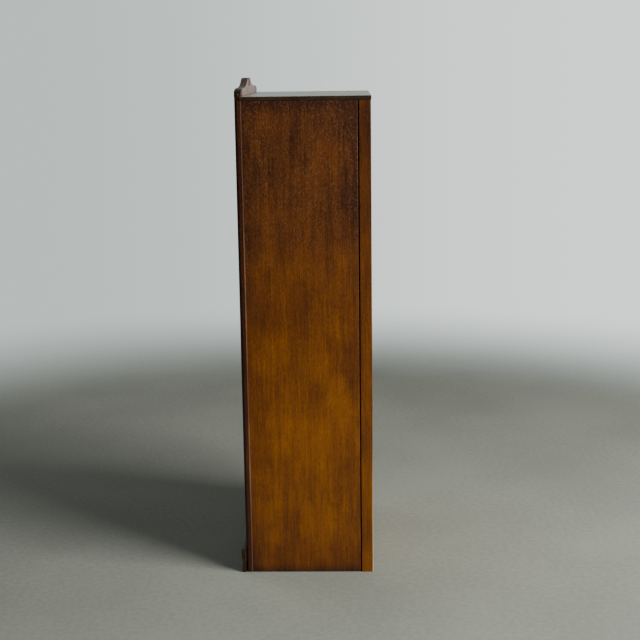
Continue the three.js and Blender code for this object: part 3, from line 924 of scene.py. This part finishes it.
class BOOKCASE_OT_base(bpy.types.Operator):
    """Carve the base moulding with thumbnail flutes, and shape the bracket feet with a scroll each"""

    bl_idname = "bookcase.base"
    bl_label = "Base"

    def execute(self, context):
        sizes = context.scene.bookcase_sizes
        material = finish(context, "carved_oak")
        moulding = self.fluted(sizes)
        settle(moulding, "case", "carved_oak", material, "base_moulding")
        for side, sign in SIDES.items():
            foot = self.foot(side, sign)
            settle(foot, "case", "carved_oak", material, f"{side}_front_foot")
        return {"FINISHED"}

    @staticmethod
    def fluted(sizes):
        """The base moulding, with a row of thumbnail flutes cut into its flat face."""
        low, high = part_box("base_moulding")
        moulding = skin_of("base_moulding", "fluted_base_moulding")
        ease(moulding, 0.8 * MM, 5 * MM, rubbed=0.4)
        end_margin = 24 * MM
        thumb = (7.6 * MM, 6.4 * MM, 11.5 * MM)  # half width, half depth and half height
        ahead = 3.2 * MM  # of its middle, before the face
        height = low.z + 26.5 * MM
        half = int((high.x - end_margin) / sizes.flute_pitch)
        cutters = []
        for step in range(-half, half + 1):
            place = (step * sizes.flute_pitch, low.y - ahead, height)
            clear_selection()
            bpy.ops.mesh.primitive_uv_sphere_add(
                segments=20, ring_count=12, radius=1, location=place, scale=thumb
            )
            cutters.append(named("cutter"))
        cutter = joined(cutters, "cutter")
        fix(cutter)
        take(moulding)
        bpy.ops.object.modifier_add(type="BOOLEAN")
        cut = moulding.modifiers[-1]
        cut.operation = "DIFFERENCE"
        cut.solver = "EXACT"
        cut.object = cutter
        bpy.ops.object.modifier_apply(modifier=cut.name)
        bpy.data.objects.remove(cutter)
        return moulding

    @staticmethod
    def foot(side, sign):
        """A bracket foot whose face swells towards the floor, with a small scroll on it."""
        low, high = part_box(f"{side}_front_foot")
        block = skin_of(f"{side}_front_foot", "foot")
        for level in (6, 12, 18, 24, 29):
            split(block, (0, 0, level * MM), (0, 0, 1))
        mesh = edit(block, "VERT")
        full_below = 8 * MM
        set_back = 3.4 * MM  # of the top of the foot, behind its bottom
        for vertex in mesh.verts:
            rise = max(0, (vertex.co.z - full_below) / (high.z - full_below))
            if vertex.co.y < low.y + MM:
                vertex.co.y += set_back * rise**1.6
        bmesh.update_edit_mesh(block.data)
        clear_selection()
        ease(block, 0.8 * MM, 5 * MM, lambda middle: middle.y < low.y + 5 * MM, rubbed=0.35)
        eye = (high.x - 19 * MM, 16 * MM) if sign > 0 else (low.x + 19 * MM, 16 * MM)
        line = spiral(eye, 1.2 * MM, 10 * MM, 1.8, math.pi / 2, sign, 40)
        x, z = line[-1]
        line += bow(
            (x, z),
            (x - sign * 6 * MM, z + 6 * MM),
            (x - sign * 20 * MM, 26 * MM),
            (x - sign * 38 * MM, 25 * MM),
            12,
        )
        face = low.y + 1.6 * MM
        points = [(x, face, z) for x, z in line]
        scroll = strand("scroll", points, tapered(line, 2.2, 1.3), flat=0.7)
        return joined([block, scroll], f"{side}_bracket_foot")


# ---- Case ----------------------------------------------------------------------------------------


class BOOKCASE_OT_side_panels(bpy.types.Operator):
    """Finish the veneered side panels, with a rubbed edging of solid oak along the front"""

    bl_idname = "bookcase.side_panels"
    bl_label = "Side panels"

    def execute(self, context):
        sizes = context.scene.bookcase_sizes
        for side in SIDES:
            node = f"{side}_side_panel"
            low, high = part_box(node)
            outer = max(abs(low.x), abs(high.x))
            seam = low.y + sizes.lipping
            panel = skin_of(node, f"{side}_veneered_panel")
            ease(panel, sizes.arris, 100 * MM, lambda middle: middle.z < high.z - MM, rubbed=0.1)
            split(panel, (0, seam, 0), (0, 1, 0))

            def edging(face):
                middle = face.calc_center_median()
                return middle.y < seam and abs(middle.x) > outer - 2 * MM

            mark(panel, "arris", 0.9, edging)
            settle(panel, "case", "side_veneer", finish(context, "side_veneer"), node)
        return {"FINISHED"}


class BOOKCASE_OT_frame_members(bpy.types.Operator):
    """Finish the stiles and rails of the case, and the pegs through their joints"""

    bl_idname = "bookcase.frame_members"
    bl_label = "Frame members"

    def execute(self, context):
        sizes = context.scene.bookcase_sizes
        for side in SIDES:
            node = f"{side}_front_stile"
            stile = ease(skin_of(node, f"{node}_oak"), sizes.arris, 100 * MM, rubbed=0.4)
            settle(stile, "case", "stained_oak", finish(context, "upright_oak"), node)
            self.rear_stile(context, sizes, side)
        rails = ["bottom_rail", "top_rail", "middle_rail_1", "middle_rail_2", "middle_rail_3"]
        for node in rails:
            rail = ease(skin_of(node, f"{node}_oak"), sizes.arris, 100 * MM, rubbed=0.5)
            settle(rail, "case", "stained_oak", finish(context, "level_oak"), node)
        self.pegs(context, sizes, rails)
        return {"FINISHED"}

    @staticmethod
    def rear_stile(context, sizes, side):
        """A rear stile, its outer back edge worn bare near the floor."""
        node = f"{side}_rear_stile"
        low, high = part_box(node)
        corner = max(abs(low.x), abs(high.x)) - 2 * MM

        def outer_back(middle):
            return abs(middle.x) > corner and middle.y > high.y - 2 * MM

        stile = skin_of(node, f"{node}_oak")
        ease(stile, sizes.arris, 60 * MM, lambda middle: not outer_back(middle), rubbed=0.0)
        ease(stile, 1.6 * MM, 60 * MM, outer_back, segments=3, rubbed=1.0)
        settle(stile, "case", "stained_oak", finish(context, "rear_oak"), node)

    @staticmethod
    def pegs(context, sizes, rails):
        """One oak peg through each tenon, left a hair proud of the front."""
        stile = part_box("right_front_stile")[0]
        heights = [middle_height(rail) for rail in rails]
        across = stile.x + 10 * MM
        places = [(sign * across, stile.y, z) for sign in SIDES.values() for z in heights]
        pegs = peg_row("case_pegs", places, sizes)
        settle(pegs, "case", "stained_oak", finish(context, "peg_oak"))


def middle_height(node):
    """The height of the middle of a node."""
    low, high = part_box(node)
    return (low.z + high.z) / 2


def peg_row(name, places, sizes):
    """Pegs that point to the front, their domed ends just proud of those places."""
    rings = [(0.96, -3), (1, -0.2), (0.97, 0.15), (0.7, 0.42), (0.05, 0.55)]
    outline = [(sizes.peg_radius * wide, high * MM) for wide, high in rings]
    peg = turned("peg", outline, 14)
    set_down(peg, turn=(math.pi / 2, 0, 0))
    return repeated(peg, places, name)


class BOOKCASE_OT_boards(bpy.types.Operator):
    """Finish the top, the bottom board, the shelves and the back panel with its brads"""

    bl_idname = "bookcase.boards"
    bl_label = "Boards"

    def execute(self, context):
        sizes = context.scene.bookcase_sizes
        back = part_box("top_board")[1].y
        top = skin_of("top_board", "polished_top")
        ease(top, 2.2 * MM, 1 * MM, lambda middle: middle.y > back - MM, segments=3, rubbed=0.6)
        settle(top, "case", "polished_top", finish(context, "top_oak"), "top_board")
        for node in SHELVES:
            shelf = ease(skin_of(node, f"{node}_oak"), sizes.arris, rubbed=0.6)
            settle(shelf, "case", "shelf_wood", finish(context, "shelf_oak"), node)
        panel = ease(skin_of("back_panel", "plywood_back"), 0.5 * MM, rubbed=0)
        settle(panel, "case", "back_plywood", finish(context, "back_plywood"), "back_panel")
        self.brads(context, sizes)
        return {"FINISHED"}

    @staticmethod
    def brads(context, sizes):
        """Flat-headed brads round the back panel and into the edge of each shelf."""
        low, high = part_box("back_panel")
        edge = high.x - 5 * MM
        heights = [low.z + 30 * MM]
        while heights[-1] + sizes.brad_pitch < high.z - 10 * MM:
            heights.append(heights[-1] + sizes.brad_pitch)
        places = [(sign * edge, high.y, z) for sign in SIDES.values() for z in heights]
        for shelf in SHELVES:
            z = middle_height(shelf)
            places += [(number * sizes.brad_pitch, high.y, z) for number in range(-2, 3)]
        rings = [(2.4, -1), (2.4, 0.3), (1.9, 0.6), (0.1, 0.7)]
        brad = turned("brad", [(r * MM, h * MM) for r, h in rings], 12)
        set_down(brad, turn=(-math.pi / 2, 0, 0))
        brads = repeated(brad, places, "back_panel_brads")
        settle(brads, "case", "steel", finish(context, "rod_steel"))


# ---- Doors ---------------------------------------------------------------------------------------


class BOOKCASE_OT_doors(bpy.types.Operator):
    """Finish the door frames, their pegs, the glazing beads, the glass and the pivot rods"""

    bl_idname = "bookcase.doors"
    bl_label = "Doors"

    def execute(self, context):
        sizes = context.scene.bookcase_sizes
        for door in DOORS:
            for side in SIDES:
                self.member(context, door, f"{side}_stile", "upright_oak", sizes.door_arris)
            for rail in ("top_rail", "bottom_rail"):
                self.member(context, door, rail, "level_oak", sizes.door_arris)
            self.member(context, door, "glazing_bead", "level_oak", 1.6 * MM)
            self.pegs(context, door, sizes)
            self.refinish(f"{door}_glass", finish(context, "window_glass"))
            self.refinish(f"{door}_pivot_rod", finish(context, "rod_steel"))
        return {"FINISHED"}

    @staticmethod
    def member(context, door, part, wood, arris):
        """One member of a door, with its long edges rounded."""
        node = f"{door}_{part}"
        member = ease(skin_of(node, f"{node}_oak"), arris, 60 * MM, rubbed=0.6)
        settle(member, door, "stained_oak", finish(context, wood), node)

    @staticmethod
    def pegs(context, door, sizes):
        """A peg through each corner joint of the door."""
        stile_low, stile_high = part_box(f"{door}_right_stile")
        rail_low, rail_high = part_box(f"{door}_bottom_rail")
        across = (stile_low.x + stile_high.x) / 2 + 2 * MM
        inset = (rail_high.z - rail_low.z) / 2
        heights = (stile_low.z + inset, stile_high.z - inset)
        places = [(sign * across, stile_low.y, z) for sign in SIDES.values() for z in heights]
        pegs = peg_row(f"{door}_pegs", places, sizes)
        settle(pegs, door, "stained_oak", finish(context, "peg_oak"))

    @staticmethod
    def refinish(node, material):
        """Gives one of the frame's own nodes a better material."""
        piece = frame["nodes"][node]
        piece.data.materials.clear()
        piece.data.materials.append(material)


class BOOKCASE_OT_knobs(bpy.types.Operator):
    """Turn the brass knobs with their roses, two for each door"""

    bl_idname = "bookcase.knobs"
    bl_label = "Knobs"

    def execute(self, context):
        sizes = context.scene.bookcase_sizes
        low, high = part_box("door_1_right_knob")
        radius = (high.x - low.x) / 2
        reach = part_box("door_1_bottom_rail")[0].y - low.y
        first = turned("knob", self.outline(radius, reach), sizes.round_steps)
        set_down(first, turn=(math.pi / 2, 0, 0))
        for door in DOORS:
            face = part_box(f"{door}_bottom_rail")[0].y
            for side in SIDES:
                node = f"{door}_{side}_knob"
                low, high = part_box(node)
                knob = copy_of(first, f"{node}_brass")
                knob.location = ((low.x + high.x) / 2, face, (low.z + high.z) / 2)
                settle(knob, door, "brass", finish(context, "knob_brass"), node, smooth=50)
        bpy.data.objects.remove(first)
        return {"FINISHED"}

    @staticmethod
    def outline(radius, reach):
        """(radius, height) of a rose, a neck, a rounded head and the small button on it."""
        rose = [(1.08, 0.002), (1.12, 0.02), (1.12, 0.06), (1.04, 0.095), (0.9, 0.11), (0.84, 0.135)]
        neck = [(0.62, 0.155), (0.46, 0.2), (0.42, 0.29), (0.44, 0.38), (0.54, 0.45), (0.74, 0.52)]
        head = [(0.92, 0.6), (1.0, 0.69), (0.985, 0.77), (0.9, 0.85), (0.74, 0.915), (0.5, 0.955)]
        button = [(0.4, 0.958), (0.36, 0.975), (0.2, 0.995), (0.01, 1.0)]
        shares = rose + neck + head + button
        return [(r * radius, h * reach) for r, h in shares]


# ---- Studio --------------------------------------------------------------------------------------


class BOOKCASE_OT_studio(bpy.types.Operator):
    """Set up the floor, the soft lights, the plain surroundings and the camera"""

    bl_idname = "bookcase.studio"
    bl_label = "Studio"

    def execute(self, context):
        studio = context.scene.bookcase_studio
        self.camera(context, studio)
        self.floor(studio)
        self.lights(studio)
        self.surroundings(context, studio)
        return {"FINISHED"}

    @staticmethod
    def camera(context, studio):
        """A long lens, level with the top of the case and looking down at its right side."""
        turn = (
            Matrix.Rotation(math.pi / 2 + studio.camera_yaw, 4, "Z")
            @ Matrix.Rotation(math.pi / 2 - studio.camera_pitch, 4, "X")
            @ Matrix.Rotation(studio.camera_roll, 4, "Z")
        )
        clear_selection()
        bpy.ops.object.camera_add(location=studio.camera_place, rotation=turn.to_euler())
        camera = named("camera")
        camera.data.lens = studio.lens
        camera.data.sensor_width = 36
        context.scene.camera = camera

    @staticmethod
    def floor(studio):
        """A wide, plain floor."""
        clear_selection()
        bpy.ops.mesh.primitive_circle_add(vertices=96, radius=4.2, fill_type="NGON")
        floor = named("studio_floor")
        concrete = studio_floor("floor_concrete", studio.floor, solid=2.0, gone=4.0)
        floor.data.materials.append(concrete)

    @staticmethod
    def lights(studio):
        """A window-sized light behind and to the right, and a weak one for the front."""
        lights = {
            "window_light": ((1.9, 3.4, 2.3), studio.window_power, 2.4),
            "fill_light": ((-2.4, -2.9, 3.3), studio.fill_power, 2.0),
        }
        target = Vector((0, 0, 0.75))
        for name, (place, power, width) in lights.items():
            towards = target - Vector(place)
            clear_selection()
            bpy.ops.object.light_add(
                type="AREA", location=place, rotation=towards.to_track_quat("-Z", "Y").to_euler()
            )
            light = named(name)
            light.data.energy = power
            light.data.size = width

    @staticmethod
    def surroundings(context, studio):
        """A plain pale room, dim on the camera's side, so that the lacquer stays dark."""
        world = bpy.data.worlds.new("plain_room")
        world.use_nodes = True
        tree = world.node_tree
        direction = axes(tree, add(tree, "ShaderNodeTexCoord").outputs["Generated"])
        low_down = share(tree, without_sign(tree, direction["Z"]), 0.65, 0.1)
        wall = times(tree, share(tree, direction["X"], 0.2, -0.9), low_down)
        around = share(tree, wall, 0.0, 1.0, studio.room_near, studio.room_beyond)
        seen = add(tree, "ShaderNodeLightPath").outputs["Is Camera Ray"]
        # The wall beyond is lighter towards the window.
        shaded, lit = 0.86 * studio.room_seen, 1.5 * studio.room_seen
        beyond = share(tree, direction["Y"], -0.25, 0.22, shaded, lit)
        brightness = add(tree, "ShaderNodeMix", {0: seen, 2: around, 3: beyond}, data_type="FLOAT")
        background = tree.nodes["Background"]
        background.inputs["Color"].default_value = (*studio.room, 1)
        tree.links.new(brightness.outputs[0], background.inputs["Strength"])
        context.scene.world = world


# ---- The add-on ------------------------------------------------------------------------------------


STEPS = (
    BOOKCASE_OT_side_panels,
    BOOKCASE_OT_frame_members,
    BOOKCASE_OT_boards,
    BOOKCASE_OT_crest,
    BOOKCASE_OT_base,
    BOOKCASE_OT_doors,
    BOOKCASE_OT_knobs,
    BOOKCASE_OT_studio,
)
SETTINGS = {
    "bookcase_sizes": BookcaseSizes,
    "bookcase_colours": BookcaseColours,
    "bookcase_studio": BookcaseStudio,
}


class BOOKCASE_PT_panel(bpy.types.Panel):
    """Lists the bookcase's settings and steps"""

    bl_idname = "BOOKCASE_PT_panel"
    bl_label = "Bookcase"
    bl_space_type = "VIEW_3D"
    bl_region_type = "UI"
    bl_category = "Bookcase"

    def draw(self, context):
        for name, group in SETTINGS.items():
            box = self.layout.box()
            for setting in group.__annotations__:
                box.prop(getattr(context.scene, name), setting)
        for step in STEPS:
            self.layout.operator(step.bl_idname)


CLASSES = (*SETTINGS.values(), *STEPS, BOOKCASE_PT_panel)


def register():
    for cls in CLASSES:
        bpy.utils.register_class(cls)
    for name, group in SETTINGS.items():
        setattr(bpy.types.Scene, name, PointerProperty(type=group))


def unregister():
    for name in SETTINGS:
        delattr(bpy.types.Scene, name)
    for cls in reversed(CLASSES):
        bpy.utils.unregister_class(cls)


def main():
    register()
    bpy.ops.bookcase.side_panels()
    bpy.ops.bookcase.frame_members()
    bpy.ops.bookcase.boards()
    bpy.ops.bookcase.crest()
    bpy.ops.bookcase.base()
    bpy.ops.bookcase.doors()
    bpy.ops.bookcase.knobs()
    bpy.ops.bookcase.studio()


if __name__ == "__main__":
    main()
